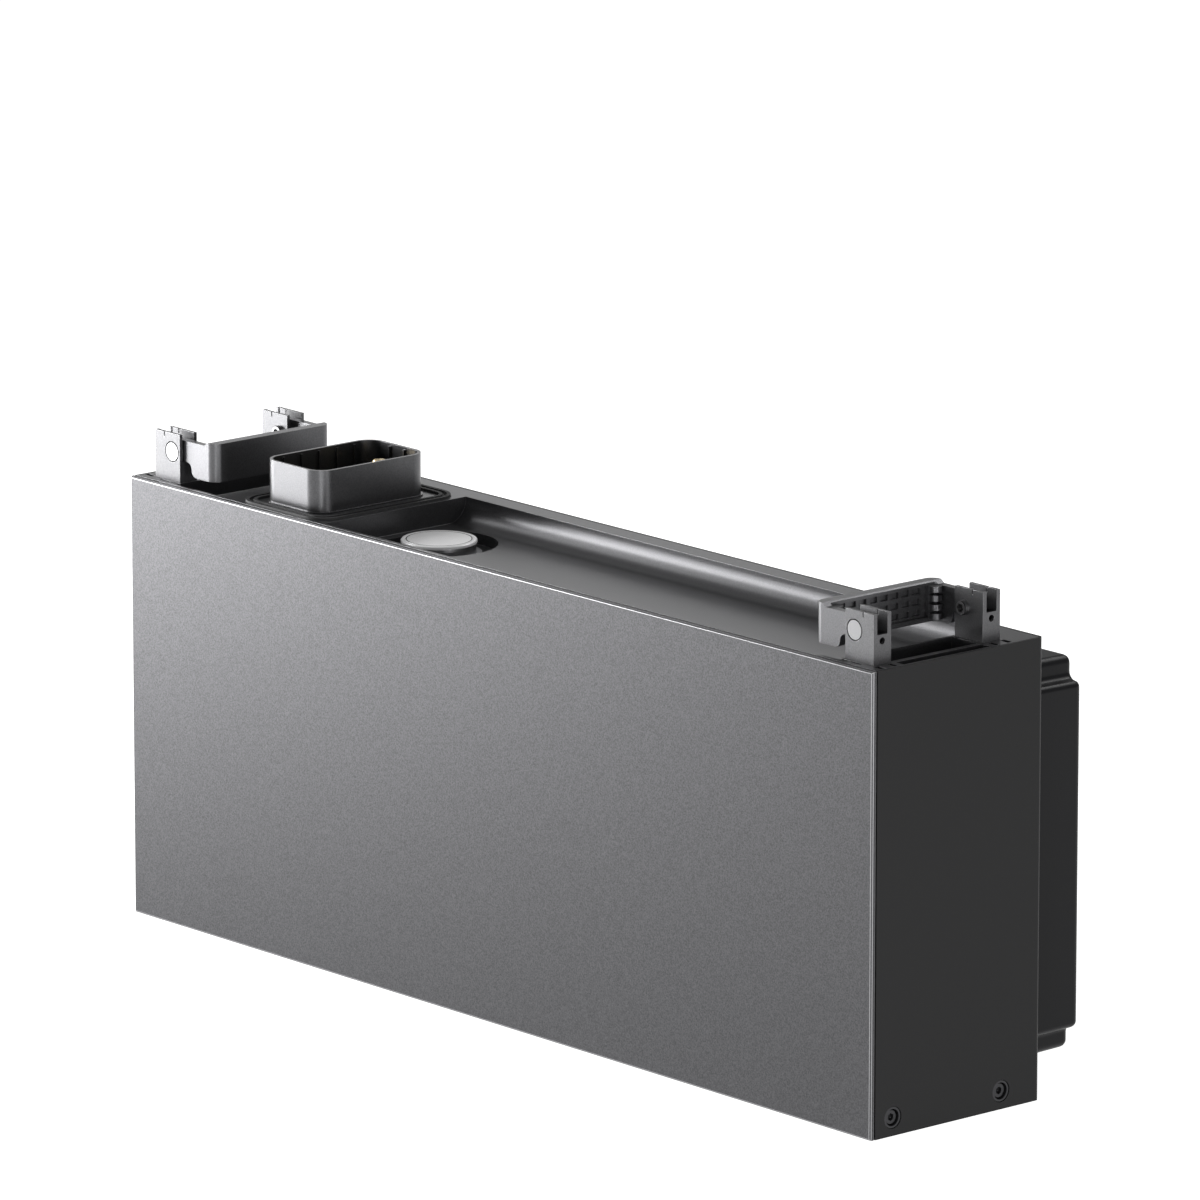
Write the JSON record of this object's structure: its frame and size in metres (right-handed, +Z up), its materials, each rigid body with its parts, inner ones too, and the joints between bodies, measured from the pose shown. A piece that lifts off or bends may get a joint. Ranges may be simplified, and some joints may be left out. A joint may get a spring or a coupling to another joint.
{
  "type": "home battery module",
  "caption": "Slim stackable home battery module: steel case with a moulded deck, connector collar, relief vent, corner posts with folding handles and a moulded rear housing.",
  "frame": {"origin": "middle of the module's overall box, on the plane that it stands on", "axes": "+X to the right along the front panel, +Y from the front panel to the rear cover, +Z up"},
  "size_m": [0.68, 0.183, 0.3085],
  "materials": {
    "front_panel": "sandblasted anodised",
    "case_sheet": "fine texture powder coat",
    "deck": "fine moulded grain",
    "base": "fine moulded grain",
    "rear_cover": "satin moulded",
    "seal_rubber": "matte",
    "post_metal": "fine texture powder coat",
    "handle": "fine moulded grain",
    "bright_steel": "turned, bright",
    "dark_steel": "black oxide",
    "zinc_steel": "zinc plated",
    "collar": "fine texture powder coat",
    "insulator": "moulded",
    "contact_brass": "plated",
    "copper": "bare copper",
    "vent_body": "machined",
    "vent_cap": "circular brushed",
    "cell_can": "film wrapped",
    "pad_foam": "foam",
    "plate_aluminium": "mill finish",
    "barrier_sheet": "smooth sheet",
    "thermal_pad": "soft",
    "circuit_board": "solder mask",
    "component_black": "moulded",
    "ceramic": "glazed",
    "winding": "enamelled wire",
    "cable_red": "jacket",
    "cable_black": "jacket"
  },
  "bodies": {
    "module": {"front_panel": "front_panel", "front_seal": "seal_rubber", "panel_studs": "zinc_steel", "case_body": "case_sheet", "top_deck": "deck", "base_tray": "base", "base_pockets": "base", "rear_cover": "rear_cover", "rear_cover_gasket": "seal_rubber", "rear_cover_screws": "dark_steel", "left_front_post": "post_metal", "left_rear_post": "post_metal", "right_front_post": "post_metal", "right_rear_post": "post_metal", "hinge_pins": "bright_steel", "left_bracket": "zinc_steel", "right_bracket": "zinc_steel", "post_screws": "zinc_steel", "connector_collar": "collar", "connector_gasket": "seal_rubber", "terminal_block": "insulator", "power_pins": "contact_brass", "signal_pins": "contact_brass", "vent_body": "vent_body", "vent_cap": "vent_cap", "vent_seal": "seal_rubber", "bottom_socket": "insulator", "socket_contacts": "contact_brass", "through_bars": "copper", "lock_screws": "dark_steel", "lock_bushes": "zinc_steel", "lower_cells": "cell_can", "upper_cells": "cell_can", "cell_spacers": "pad_foam", "left_end_plate": "plate_aluminium", "right_end_plate": "plate_aluminium", "pack_straps": "zinc_steel", "support_rails": "plate_aluminium", "row_divider": "barrier_sheet", "cell_cover": "barrier_sheet", "thermal_pad": "thermal_pad", "lower_busbars": "copper", "upper_busbars": "copper", "row_link": "copper", "electronics_plate": "zinc_steel", "bms_board": "circuit_board", "converter_board": "circuit_board", "power_transistors": "component_black", "heat_sink": "plate_aluminium", "capacitors": "component_black", "inductors": "winding", "contactor": "component_black", "contactor_link": "copper", "fuse": "ceramic", "fuse_link": "copper", "positive_cable": "cable_red", "negative_cable": "cable_black", "signal_harness": "cable_black"},
    "left_bail": {"left_handle": "handle"},
    "right_bail": {"right_handle": "handle"}
  },
  "joints": [
    {"name": "left_handle_fold", "type": "hinge", "parent": "module", "child": "left_bail", "pos_m": [-0.3122, -0.031, 0.2968], "axis": [0, -1, 0], "range_deg": [0, 90]},
    {"name": "right_handle_fold", "type": "hinge", "parent": "module", "child": "right_bail", "pos_m": [0.3122, -0.031, 0.2968], "axis": [0, 1, 0], "range_deg": [0, 90]}
  ]
}
